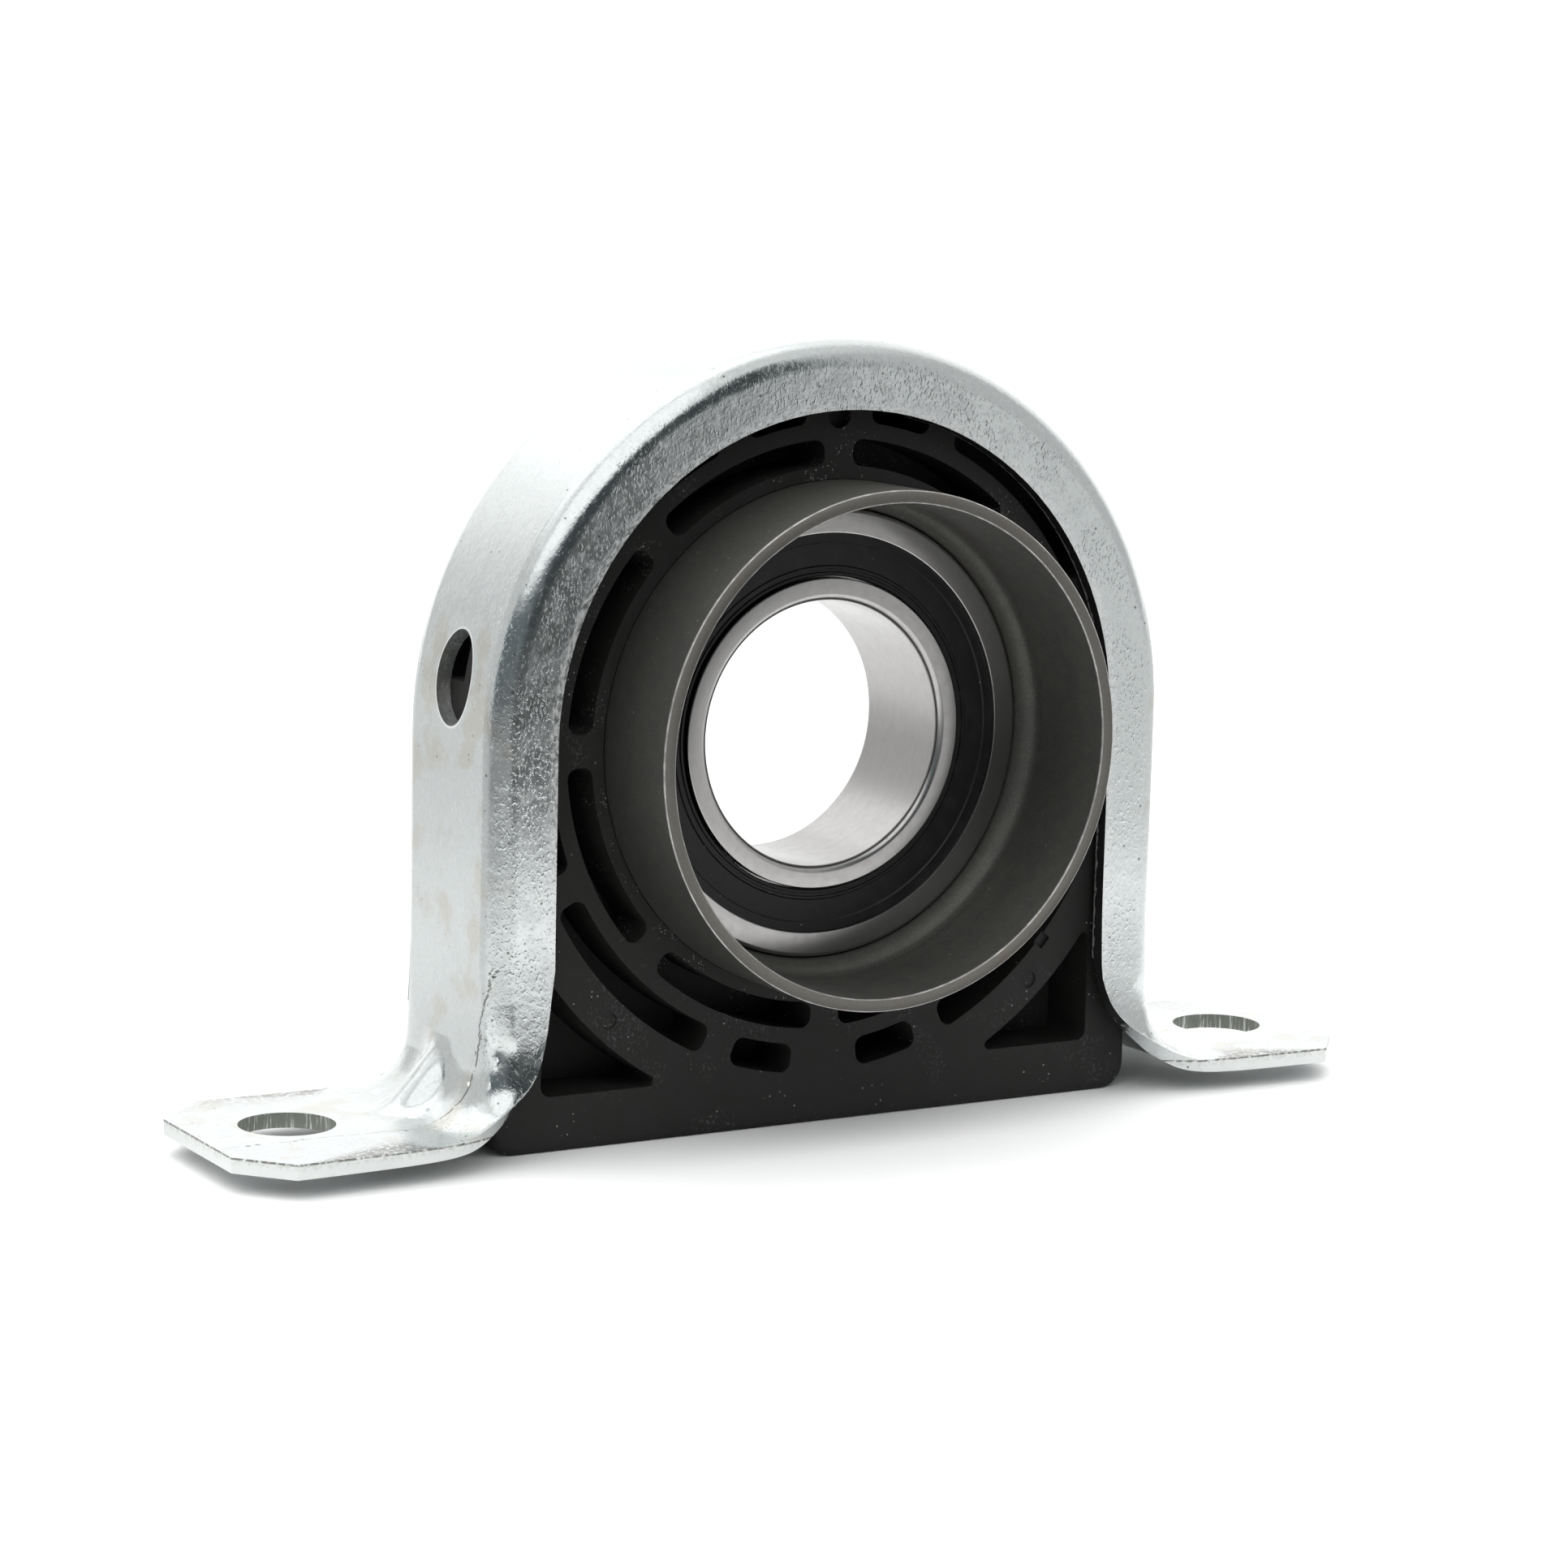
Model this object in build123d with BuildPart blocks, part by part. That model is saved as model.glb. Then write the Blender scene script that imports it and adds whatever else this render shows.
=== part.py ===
from build123d import *
from math import atan2, degrees, radians, tan
import os

os.makedirs("parts", exist_ok=True)

# Driveshaft centre bearing: a sealed ball bearing in a drawn sleeve, held by a
# moulded rubber cushion in a pressed channel bracket with two bolt feet.
# Millimetres. The origin is the centre of the bearing's bore, Y runs along the
# bore with the cup's open side at -Y, X runs along the feet and Z points up.

# Bearing rings
bore_diameter = 40.0
bearing_diameter = 68.0
bearing_width = 21.0
ring_chamfer = 0.7
inner_land_diameter = 46.9
inner_shoulder_diameter = 49.3
inner_shoulder_end = 8.0
outer_land_wall = 3.8
outer_shoulder_wall = 4.6
seal_seat_depth = 0.7
seal_seat_start = 8.3
seal_seat_end = 9.3

# Balls and their tracks
ball_diameter = 7.938
ball_count = 12
pitch_diameter = 54.0
track_clearance = 0.07
track_conformity = 0.52

# Cage in two riveted halves
pocket_clearance = 0.12
cage_sheet = 0.9
cage_band = 3.2
cage_half_gap = 0.02
rivet_diameter = 1.4
rivet_head_diameter = 2.6
rivet_head_height = 0.5

# Seals
seal_recess = 0.7
seal_thickness = 1.2
seal_lip_gap = 0.27
seal_edge_gap = 0.03
lip_groove_width = 0.4
lip_groove_depth = 0.25
lip_groove_inset = 0.6

# Sleeve: the cup in front and the neck round the bearing
cup_diameter = 76.8
sleeve_sheet = 1.9
rim_reach = 30.6
cup_floor_reach = 12.9
neck_reach = 10.9
sleeve_lip_diameter = 63.6
sleeve_inner_bend = 0.8
sleeve_tight_bend = 0.5
seat_gap = 0.02
lip_gap = 0.05
rim_break = 0.15

# Bracket: an arch of channel section with a foot at each side
bracket_sheet = 2.3
arch_radius = 58.0
arch_rise = 1.2
channel_front = 16.1
channel_rear = 13.9
channel_bend = 4.0
flange_depth = 10.3
flare_start = 26.0
channel_flare = 2.5
foot_level = 53.8
foot_bend = 9.0
left_foot_reach = 97.2
right_foot_reach = 94.6
foot_front = 22.2
foot_rear = 18.5
front_corner_length = 6.7
front_corner_depth = 7.7
rear_corner_length = 8.2
rear_corner_depth = 8.2
foot_neck_start = 70.0
foot_neck_end = 52.0
foot_neck_front = 18.6
left_lean_level = 31.0
left_lean = 8.5
left_turn_level = 44.0
right_lean_level = 38.0
right_lean = 4.0
right_turn_level = 42.5
flange_turn_radius = 6.3
flange_slope = 29.5
bolt_spacing = 164.8
bolt_hole_diameter = 14.2
web_hole_width = 10.8
web_hole_height = 14.0
web_hole_rise = 10.1
web_hole_offset = 0.4
bead_radius = 4.0
bead_foot_run = 9.4
bead_leg_run = 10.4
bead_offset = 0.3

# Rubber cushion
channel_gap = 0.05
bond_gap = 0.03
cushion_front = 12.4
cushion_rear = 10.2
cushion_bottom = 59.1
cushion_corner = 4.0
cushion_edge = 1.2
flange_gap = 0.05
border_cover = 1.8
border_end = 40.0
border_edge = 1.8
pocket_depth = 10.5
pocket_corner = 1.6
pocket_tip = 0.8
inner_pocket_wall = 2.0
inner_pocket_width = 4.0
inner_pocket_span = 38.4
inner_pocket_count = 8
pocket_wall = 2.5
outer_pocket_width = 4.4
long_pocket_span = 37.9
long_pocket_lean = 46.25
short_pocket_span = 12.1
crown_pocket_lean = 12.75
side_pocket_lean = 15.5
corner_pocket_radius = 57.4
corner_pocket_side = 47.8
corner_pocket_floor = 50.7
mould_mark_diameter = 2.6
mould_mark_depth = 0.3
mould_mark_radius = 54.5
mould_mark_lean = 47.5
crown_dimple_diameter = 3.8
crown_dimple_depth = 1.5
crown_dimple_rise = 47.8
vent_side = 2.2
vent_depth = 0.6
vent_radius = 51.7
vent_lean = 41.1

# Sizes that follow from those above
bore_radius = bore_diameter / 2
bearing_radius = bearing_diameter / 2
half_width = bearing_width / 2
outer_land_radius = bearing_radius - outer_land_wall
outer_shoulder_radius = bearing_radius - outer_shoulder_wall
seal_seat_radius = outer_land_radius + seal_seat_depth
ball_radius = ball_diameter / 2
pitch_radius = pitch_diameter / 2
cage_outer_radius = (pitch_diameter + cage_band) / 2
cage_inner_radius = (pitch_diameter - cage_band) / 2
track_radius = ball_diameter * track_conformity
track_shift = track_radius - ball_radius - track_clearance
seal_face = half_width - seal_recess
seal_back = seal_face - seal_thickness
cup_radius = cup_diameter / 2
neck_radius = bearing_radius + seat_gap
neck_outer_radius = neck_radius + sleeve_sheet
lip_level = half_width + lip_gap
channel_middle = (channel_rear - channel_front) / 2
channel_width = channel_front + channel_rear
flange_edge_radius = arch_radius - flange_depth
cushion_radius = arch_radius - bracket_sheet - channel_gap
border_inner_radius = flange_edge_radius + border_cover
border_front = channel_front - bracket_sheet - flange_gap
border_rear = channel_rear - bracket_sheet - flange_gap
inner_pocket_start = cup_radius + inner_pocket_wall
inner_pocket_end = inner_pocket_start + inner_pocket_width
outer_pocket_start = inner_pocket_end + pocket_wall
outer_pocket_end = outer_pocket_start + outer_pocket_width
pocket_floor_front = cushion_front - pocket_depth
pocket_floor_rear = cushion_rear - pocket_depth
far = 2 * left_foot_reach


def station(y):
    """Plane square to the bore at one place along it, its X along the feet."""
    return Plane.XZ.offset(-y)


def ball_place(index):
    """Centre of one ball, counted from +X toward +Z."""
    turn = Location((0, 0, 0), (0, -index * 360 / ball_count, 0))
    return (turn * Location((pitch_radius, 0, 0))).position


# Outer ring
with BuildPart() as outer_ring:
    with BuildSketch(Plane.XY):
        with BuildLine():
            Polyline(
                (outer_shoulder_radius, -seal_seat_start),
                (seal_seat_radius, -seal_seat_start),
                (seal_seat_radius, -seal_seat_end),
                (outer_land_radius, -seal_seat_end),
                (outer_land_radius, -half_width),
                (bearing_radius, -half_width),
                (bearing_radius, half_width),
                (outer_land_radius, half_width),
                (outer_land_radius, seal_seat_end),
                (seal_seat_radius, seal_seat_end),
                (seal_seat_radius, seal_seat_start),
                (outer_shoulder_radius, seal_seat_start),
                close=True,
            )
        make_face()
        with Locations((pitch_radius - track_shift, 0)):
            Circle(track_radius, mode=Mode.SUBTRACT)
    revolve(axis=Axis.Y)
    rims = outer_ring.edges().filter_by(GeomType.CIRCLE).filter_by(lambda e: e.radius > bearing_radius - 0.01)
    chamfer(rims, ring_chamfer)
outer_ring.part.label = "outer_ring"
export_step(outer_ring.part, "parts/outer_ring.step")

# Inner ring
with BuildPart() as inner_ring:
    with BuildSketch(Plane.XY):
        with BuildLine():
            Polyline(
                (bore_radius, -half_width),
                (inner_land_diameter / 2, -half_width),
                (inner_land_diameter / 2, -inner_shoulder_end),
                (inner_shoulder_diameter / 2, -inner_shoulder_end),
                (inner_shoulder_diameter / 2, inner_shoulder_end),
                (inner_land_diameter / 2, inner_shoulder_end),
                (inner_land_diameter / 2, half_width),
                (bore_radius, half_width),
                close=True,
            )
        make_face()
        with Locations((pitch_radius + track_shift, 0)):
            Circle(track_radius, mode=Mode.SUBTRACT)
    revolve(axis=Axis.Y)
    mouths = inner_ring.edges().filter_by(GeomType.CIRCLE).filter_by(lambda e: e.radius < bore_radius + 0.01)
    chamfer(mouths, ring_chamfer)
inner_ring.part.label = "inner_ring"
export_step(inner_ring.part, "parts/inner_ring.step")

# Balls
for index in range(ball_count):
    with BuildPart() as ball:
        with Locations(ball_place(index)):
            Sphere(ball_radius)
    ball.part.label = f"ball_{index + 1:02d}"
    export_step(ball.part, f"parts/ball_{index + 1:02d}.step")

# Cage halves: a flat ring with a round pocket over each ball
for name, side in (("cage_front", -1), ("cage_rear", 1)):
    with BuildPart() as cage_half:
        with BuildSketch(station(side * cage_half_gap)):
            Circle(cage_outer_radius)
            Circle(cage_inner_radius, mode=Mode.SUBTRACT)
        extrude(amount=-side * cage_sheet)
        pocket_radius = ball_radius + pocket_clearance
        for index in range(ball_count):
            with Locations(ball_place(index)):
                Sphere(pocket_radius + cage_sheet)
        with BuildSketch(station(side * cage_half_gap)):
            Circle(cage_outer_radius)
            Circle(cage_inner_radius, mode=Mode.SUBTRACT)
        extrude(amount=-side * ball_diameter, mode=Mode.INTERSECT)
        for index in range(ball_count):
            with Locations(ball_place(index)):
                Sphere(pocket_radius, mode=Mode.SUBTRACT)
        with BuildSketch(station(0)):
            with PolarLocations(pitch_radius, ball_count, start_angle=180 / ball_count):
                Circle(rivet_diameter / 2 + cage_half_gap)
        extrude(amount=-side * ball_diameter, mode=Mode.SUBTRACT)
    cage_half.part.label = name
    export_step(cage_half.part, f"parts/{name}.step")

# Rivets of the cage, one between each pair of balls
web_face = cage_half_gap + cage_sheet
with BuildPart() as cage_rivets:
    with BuildSketch(station(-web_face - rivet_head_height)):
        with PolarLocations(pitch_radius, ball_count, start_angle=180 / ball_count):
            Circle(rivet_head_diameter / 2)
    extrude(amount=-rivet_head_height)
    with BuildSketch(station(web_face)):
        with PolarLocations(pitch_radius, ball_count, start_angle=180 / ball_count):
            Circle(rivet_head_diameter / 2)
    extrude(amount=-rivet_head_height)
    with BuildSketch(station(-web_face)):
        with PolarLocations(pitch_radius, ball_count, start_angle=180 / ball_count):
            Circle(rivet_diameter / 2)
    extrude(amount=-2 * web_face)
cage_rivets.part.label = "cage_rivets"
export_step(cage_rivets.part, "parts/cage_rivets.step")

# Seals: each sits in the outer ring's groove and stops short of the inner ring
seal_lip_radius = inner_land_diameter / 2 + seal_lip_gap
seal_body_radius = outer_land_radius - seal_edge_gap
seal_edge_radius = seal_seat_radius - seal_edge_gap
lip_groove_start = seal_lip_radius + lip_groove_inset
lip_groove_end = lip_groove_start + lip_groove_width
for name, side in (("seal_front", -1), ("seal_rear", 1)):
    with BuildPart() as seal:
        with BuildSketch(Plane.XY):
            with BuildLine():
                Polyline(
                    (seal_lip_radius, side * seal_back),
                    (seal_lip_radius, side * seal_face),
                    (lip_groove_start, side * seal_face),
                    (lip_groove_start, side * (seal_face - lip_groove_depth)),
                    (lip_groove_end, side * (seal_face - lip_groove_depth)),
                    (lip_groove_end, side * seal_face),
                    (seal_body_radius, side * seal_face),
                    (seal_body_radius, side * (seal_seat_end - seal_edge_gap)),
                    (seal_edge_radius, side * (seal_seat_end - seal_edge_gap)),
                    (seal_edge_radius, side * seal_back),
                    close=True,
                )
            make_face()
        revolve(axis=Axis.Y)
    seal.part.label = name
    export_step(seal.part, f"parts/{name}.step")

# Sleeve: one drawn sheet, cup in front, neck round the bearing, lip behind it
shoulder_angle = degrees(atan2(cup_radius - sleeve_sheet - neck_radius, cup_floor_reach - neck_reach))
bend_shift = sleeve_sheet * tan(radians(shoulder_angle / 2))
with BuildPart() as bearing_sleeve:
    with BuildSketch(Plane.XY) as wall:
        with BuildLine():
            Polyline(
                (cup_radius - sleeve_sheet, -rim_reach),
                (cup_radius - sleeve_sheet, -cup_floor_reach),
                (neck_radius, -neck_reach),
                (neck_radius, lip_level),
                (sleeve_lip_diameter / 2, lip_level),
                (sleeve_lip_diameter / 2, lip_level + sleeve_sheet),
                (neck_outer_radius, lip_level + sleeve_sheet),
                (neck_outer_radius, bend_shift - neck_reach),
                (cup_radius, bend_shift - cup_floor_reach),
                (cup_radius, -rim_reach),
                close=True,
            )
        make_face()
        corners = wall.vertices()
        cup_bend = corners.sort_by_distance((cup_radius - sleeve_sheet, -cup_floor_reach))[0]
        neck_bend = corners.sort_by_distance((neck_outer_radius, bend_shift - neck_reach))[0]
        lip_bend = corners.sort_by_distance((neck_radius, lip_level))[0]
        fillet([cup_bend, lip_bend], sleeve_inner_bend)
        fillet(neck_bend, sleeve_tight_bend)
        corners = wall.vertices()
        cup_outside = corners.sort_by_distance((cup_radius, bend_shift - cup_floor_reach))[0]
        lip_outside = corners.sort_by_distance((neck_outer_radius, lip_level + sleeve_sheet))[0]
        neck_inside = corners.sort_by_distance((neck_radius, -neck_reach))[0]
        fillet([cup_outside, lip_outside], sleeve_inner_bend + sleeve_sheet)
        fillet(neck_inside, sleeve_tight_bend + sleeve_sheet)
        rim_corners = wall.vertices().group_by(Axis.Y)[0]
        chamfer(rim_corners, rim_break)
    revolve(axis=Axis.Y)
bearing_sleeve.part.label = "bearing_sleeve"
export_step(bearing_sleeve.part, "parts/bearing_sleeve.step")

# Bracket, first the space its outer skin encloses: the arch with its legs
# flared toward the feet, standing on a plate whose top is the top of the feet
plate_depth = 4 * bracket_sheet
with BuildPart() as channel_form:
    with BuildSketch(station(channel_rear)):
        with BuildLine():
            Polyline(
                (-arch_radius, arch_rise),
                (-arch_radius, -flare_start),
                (arch_radius, -flare_start),
                (arch_radius, arch_rise),
            )
            ThreePointArc((arch_radius, arch_rise), (0, arch_rise + arch_radius), (-arch_radius, arch_rise))
        make_face()
    extrude(amount=channel_width)
    with BuildSketch(Plane.YZ.offset(-arch_radius)):
        with BuildLine():
            front_foot = (-channel_front - channel_flare, -foot_level)
            rear_foot = (channel_rear + channel_flare, -foot_level)
            TangentArc((-channel_front, -flare_start), front_foot, tangent=(0, -1))
            TangentArc((channel_rear, -flare_start), rear_foot, tangent=(0, -1))
            Line(front_foot, rear_foot)
            Line((-channel_front, -flare_start), (channel_rear, -flare_start))
        make_face()
    extrude(amount=2 * arch_radius)
    near_flanges = channel_form.edges().filter_by(
        lambda e: abs(e.center().Y - channel_middle) > channel_width / 3
    )
    outline = near_flanges.filter_by(
        lambda e: abs(e.center().X) > arch_radius - 1 or e.center().Z > arch_rise + 1
    )
    fillet(outline, channel_bend)
    with BuildSketch(Plane.XY.offset(-foot_level)):
        Rectangle(2 * far, far)
    extrude(amount=-plate_depth)
    on_plate = channel_form.edges().filter_by_position(Axis.Z, -foot_level - 0.01, -foot_level + 0.01)
    seam = on_plate.filter_by(
        lambda e: abs(e.center().X) < foot_neck_start and abs(e.center().Y) < foot_front
    )
    fillet(seam, foot_bend)

# The opening between the flanges, which runs out into the feet
window_sides = (
    (-1, left_lean_level, left_lean, left_turn_level),
    (1, right_lean_level, right_lean, right_turn_level),
)
with BuildPart() as flange_window:
    with BuildSketch(station(far / 2)):
        for side, lean_level, lean, turn_level in window_sides:
            top = (0, arch_rise + flange_edge_radius)
            shoulder = (side * flange_edge_radius, arch_rise)
            lean_start = (side * flange_edge_radius, -lean_level)
            lean_run = (turn_level - lean_level) * tan(radians(lean))
            lean_end = (side * (flange_edge_radius + lean_run), -turn_level)
            with BuildLine():
                Line((0, -far / 2), top)
                RadiusArc(top, shoulder, side * flange_edge_radius)
                Line(shoulder, lean_start)
                leaning = Line(lean_start, lean_end)
                turn = JernArc(
                    start=lean_end,
                    tangent=leaning % 1,
                    radius=flange_turn_radius,
                    arc_size=side * (90 - lean - flange_slope),
                )
                slope = Line(turn @ 1, turn @ 1 + (turn % 1) * foot_bend * 1.5)
                Polyline(slope @ 1, ((slope @ 1).X, -far / 2), (0, -far / 2))
            make_face()
    extrude(amount=far)

# The flat shape of the feet with the bolt holes, and the holes in the web
with BuildPart() as foot_blank:
    with BuildSketch(Plane.XY.offset(far / 2)):
        for side, reach in ((-1, left_foot_reach), (1, right_foot_reach)):
            with BuildLine():
                Polyline(
                    (0, -foot_neck_front),
                    (side * foot_neck_end, -foot_neck_front),
                    (side * foot_neck_start, -foot_front),
                    (side * (reach - front_corner_length), -foot_front),
                    (side * reach, front_corner_depth - foot_front),
                    (side * reach, foot_rear - rear_corner_depth),
                    (side * (reach - rear_corner_length), foot_rear),
                    (0, foot_rear),
                    close=True,
                )
            make_face()
        with Locations((bolt_spacing / 2, 0), (-bolt_spacing / 2, 0)):
            Circle(bolt_hole_diameter / 2, mode=Mode.SUBTRACT)
    extrude(amount=-far)
    with BuildSketch(Plane.YZ.offset(-far / 2)):
        with Locations((channel_middle - web_hole_offset, web_hole_rise)):
            Ellipse(web_hole_width / 2, web_hole_height / 2)
    extrude(amount=far, mode=Mode.SUBTRACT)

# The skin left by those cuts, thickened inward to the sheet
whole_skin = Shell(channel_form.faces())
with BuildPart() as cut_form:
    add(channel_form.part)
    add(flange_window.part, mode=Mode.SUBTRACT)
    add(foot_blank.part, mode=Mode.INTERSECT)


def on_skin(face):
    """Whether a face is left from the form's outer skin, not made by a cut."""
    spot = face.location_at(0.5, 0.5).position
    return whole_skin.distance_to(Vertex(*spot)) < 0.01 and face.normal_at(spot).Z > -0.5


skin = Shell(cut_form.faces().filter_by(on_skin))

# A stiffening bead across each foot bend, pressed out of the same sheet
bead_over = 2 * bracket_sheet
bead_planes = []
for side in (-1, 1):
    foot_point = Vector(side * (arch_radius + bead_foot_run), bead_offset, -foot_level)
    leg_point = Vector(side * arch_radius, bead_offset, bead_leg_run - foot_level)
    along = (leg_point - foot_point).normalized()
    bead_length = (leg_point - foot_point).length
    outward = Vector(along.Z, 0, -along.X) * side
    bead_planes.append(Plane(origin=foot_point - outward * bead_radius, z_dir=along))
with BuildPart() as beads:
    for plane in bead_planes:
        with BuildSketch(plane.offset(-bead_over)):
            Circle(bead_radius)
    extrude(amount=bead_length + 2 * bead_over)
    add(channel_form.part, mode=Mode.SUBTRACT)
with BuildPart() as bracket:
    add(Solid.thicken(skin, -bracket_sheet))
    add(beads.part)
    for plane in bead_planes:
        with BuildSketch(plane.offset(-2 * bead_over)):
            Circle(bead_radius - bracket_sheet)
    extrude(amount=bead_length + 4 * bead_over, mode=Mode.SUBTRACT)
bracket.part.label = "bracket"
export_step(bracket.part, "parts/bracket.step")


def pocket(start_radius, end_radius, middle_angle, span):
    """A stretch of ring with rounded corners, angles counted from +X toward +Z."""
    with BuildSketch() as stretch:
        with BuildLine():
            near_side = CenterArc((0, 0), start_radius, middle_angle - span / 2, span)
            far_side = CenterArc((0, 0), end_radius, middle_angle - span / 2, span)
            Line(near_side @ 0, far_side @ 0)
            Line(near_side @ 1, far_side @ 1)
        make_face()
        fillet(stretch.vertices(), pocket_corner)
    return stretch.sketch


# Pockets of the cushion, alike in front and behind
with BuildSketch() as pocket_plan:
    for index in range(inner_pocket_count):
        middle = (index + 0.5) * 360 / inner_pocket_count
        add(pocket(inner_pocket_start, inner_pocket_end, middle, inner_pocket_span))
    open_end = arch_radius + channel_bend
    add(pocket(outer_pocket_start, open_end, long_pocket_lean, long_pocket_span))
    add(pocket(outer_pocket_start, open_end, 90 - crown_pocket_lean, short_pocket_span))
    add(pocket(outer_pocket_start, open_end, side_pocket_lean, short_pocket_span))
    add(pocket(outer_pocket_start, open_end, -side_pocket_lean, short_pocket_span))
    add(pocket(outer_pocket_start, outer_pocket_end, -long_pocket_lean, long_pocket_span))
    add(pocket(outer_pocket_start, outer_pocket_end, crown_pocket_lean - 90, short_pocket_span))
    with BuildSketch() as corner_pocket:
        Rectangle(corner_pocket_side, corner_pocket_floor, align=(Align.MIN, Align.MAX))
        Circle(corner_pocket_radius, mode=Mode.SUBTRACT)
        corners = corner_pocket.vertices()
        inner_corner = corners.sort_by_distance((corner_pocket_side, -corner_pocket_floor))[0]
        fillet(inner_corner, pocket_corner)
        tips = corner_pocket.vertices().filter_by(
            lambda v: abs(Vector(v.X, v.Y).length - corner_pocket_radius) < 0.01
        )
        fillet(tips, pocket_tip)
    mirror(about=Plane.YZ)

# Rubber cushion
with BuildPart() as rubber_cushion:
    with BuildSketch(station(cushion_rear)) as block:
        with Locations((0, arch_rise)):
            Circle(cushion_radius)
            Rectangle(2 * cushion_radius, arch_rise + cushion_bottom, align=(Align.CENTER, Align.MAX))
        fillet(block.vertices().group_by(Axis.Y)[0], cushion_corner)
    extrude(amount=cushion_front + cushion_rear)
    face_edges = rubber_cushion.faces().filter_by(Axis.Y).edges()
    low_edges = face_edges.filter_by(lambda e: e.center().Z < -corner_pocket_floor)
    fillet(low_edges, cushion_edge)
    with BuildSketch(station(border_rear)):
        with Locations((0, arch_rise)):
            Circle(cushion_radius)
            Circle(border_inner_radius, mode=Mode.SUBTRACT)
        with Locations((0, arch_rise)):
            Rectangle(far, far, align=(Align.CENTER, Align.MAX), mode=Mode.SUBTRACT)
        border_width = cushion_radius - border_inner_radius
        border_middle = (cushion_radius + border_inner_radius) / 2
        with Locations((border_middle, arch_rise), (-border_middle, arch_rise)):
            Rectangle(border_width, arch_rise + border_end, align=(Align.CENTER, Align.MAX))
    extrude(amount=border_front + border_rear)
    raised = rubber_cushion.faces().filter_by(
        lambda f: not -cushion_front - 0.1 < f.center().Y < cushion_rear + 0.1
    )
    outside = raised.edges().filter_by(
        lambda e: abs(e.center().X) > cushion_radius - 0.1 or e.center().Z > arch_rise + cushion_radius - 0.1
    )
    fillet(outside, border_edge)
    with BuildSketch(station(-pocket_floor_front)):
        add(pocket_plan.sketch)
    extrude(amount=2 * pocket_depth, mode=Mode.SUBTRACT)
    with BuildSketch(station(pocket_floor_rear)):
        add(pocket_plan.sketch)
    extrude(amount=-2 * pocket_depth, mode=Mode.SUBTRACT)
    with BuildSketch(Plane.XY) as seat:
        with BuildLine():
            Polyline(
                (0, -far),
                (cup_radius + bond_gap, -far),
                (cup_radius + bond_gap, bend_shift - cup_floor_reach),
                (neck_outer_radius + bond_gap, bend_shift - neck_reach),
                (neck_outer_radius + bond_gap, far),
                (0, far),
                close=True,
            )
        make_face()
        seat_corner = seat.vertices().sort_by_distance((neck_outer_radius, bend_shift - neck_reach))[0]
        fillet(seat_corner, sleeve_tight_bend)
    revolve(axis=Axis.Y, mode=Mode.SUBTRACT)
    with BuildSketch(station(-cushion_front)):
        for angle in (-mould_mark_lean, 180 + mould_mark_lean):
            with PolarLocations(mould_mark_radius, 1, start_angle=angle):
                Circle(mould_mark_diameter / 2)
    extrude(amount=-mould_mark_depth, mode=Mode.SUBTRACT)
    with BuildSketch(station(-cushion_front)):
        with PolarLocations(vent_radius, 1, start_angle=-vent_lean):
            Rectangle(vent_side, vent_side)
    extrude(amount=-vent_depth, mode=Mode.SUBTRACT)
    with BuildSketch(station(-cushion_front)):
        with Locations((0, crown_dimple_rise)):
            Circle(crown_dimple_diameter / 2)
    extrude(amount=-crown_dimple_depth, mode=Mode.SUBTRACT)
rubber_cushion.part.label = "rubber_cushion"
export_step(rubber_cushion.part, "parts/rubber_cushion.step")
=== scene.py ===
# Looks of a driveshaft centre bearing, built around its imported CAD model
from math import cos, hypot, pi, radians, sin

import bmesh
import bpy
from mathutils import Matrix, Vector, noise


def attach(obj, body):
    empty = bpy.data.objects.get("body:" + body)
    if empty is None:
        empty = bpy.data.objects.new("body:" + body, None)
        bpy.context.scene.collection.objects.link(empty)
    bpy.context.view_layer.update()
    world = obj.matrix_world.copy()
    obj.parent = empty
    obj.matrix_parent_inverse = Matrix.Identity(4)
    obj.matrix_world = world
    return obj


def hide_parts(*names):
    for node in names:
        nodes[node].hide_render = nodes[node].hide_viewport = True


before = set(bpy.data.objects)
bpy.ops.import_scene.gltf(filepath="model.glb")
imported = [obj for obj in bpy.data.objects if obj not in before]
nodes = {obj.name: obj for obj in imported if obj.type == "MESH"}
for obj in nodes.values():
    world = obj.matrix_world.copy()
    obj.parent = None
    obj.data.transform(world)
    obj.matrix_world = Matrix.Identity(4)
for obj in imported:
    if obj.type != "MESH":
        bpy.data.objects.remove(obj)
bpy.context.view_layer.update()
mm = 0.001
print("frame loaded,", len(nodes), "nodes")


# Shader helpers

class Wire:
    # a node's output that can stand in sums
    def __init__(self, graph, socket):
        self.graph = graph
        self.socket = socket

    def beside(self, name):
        # another output of the same node
        return Wire(self.graph, self.socket.node.outputs[name])

    def __add__(self, other):
        return self.graph.math("ADD", self, other)

    def __radd__(self, other):
        return self.graph.math("ADD", other, self)

    def __sub__(self, other):
        return self.graph.math("SUBTRACT", self, other)

    def __rsub__(self, other):
        return self.graph.math("SUBTRACT", other, self)

    def __mul__(self, other):
        return self.graph.math("MULTIPLY", self, other)

    def __rmul__(self, other):
        return self.graph.math("MULTIPLY", other, self)

    def __truediv__(self, other):
        return self.graph.math("DIVIDE", self, other)

    def __pow__(self, other):
        return self.graph.math("POWER", self, other)

    def __abs__(self):
        return self.graph.math("ABSOLUTE", self)


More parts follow.
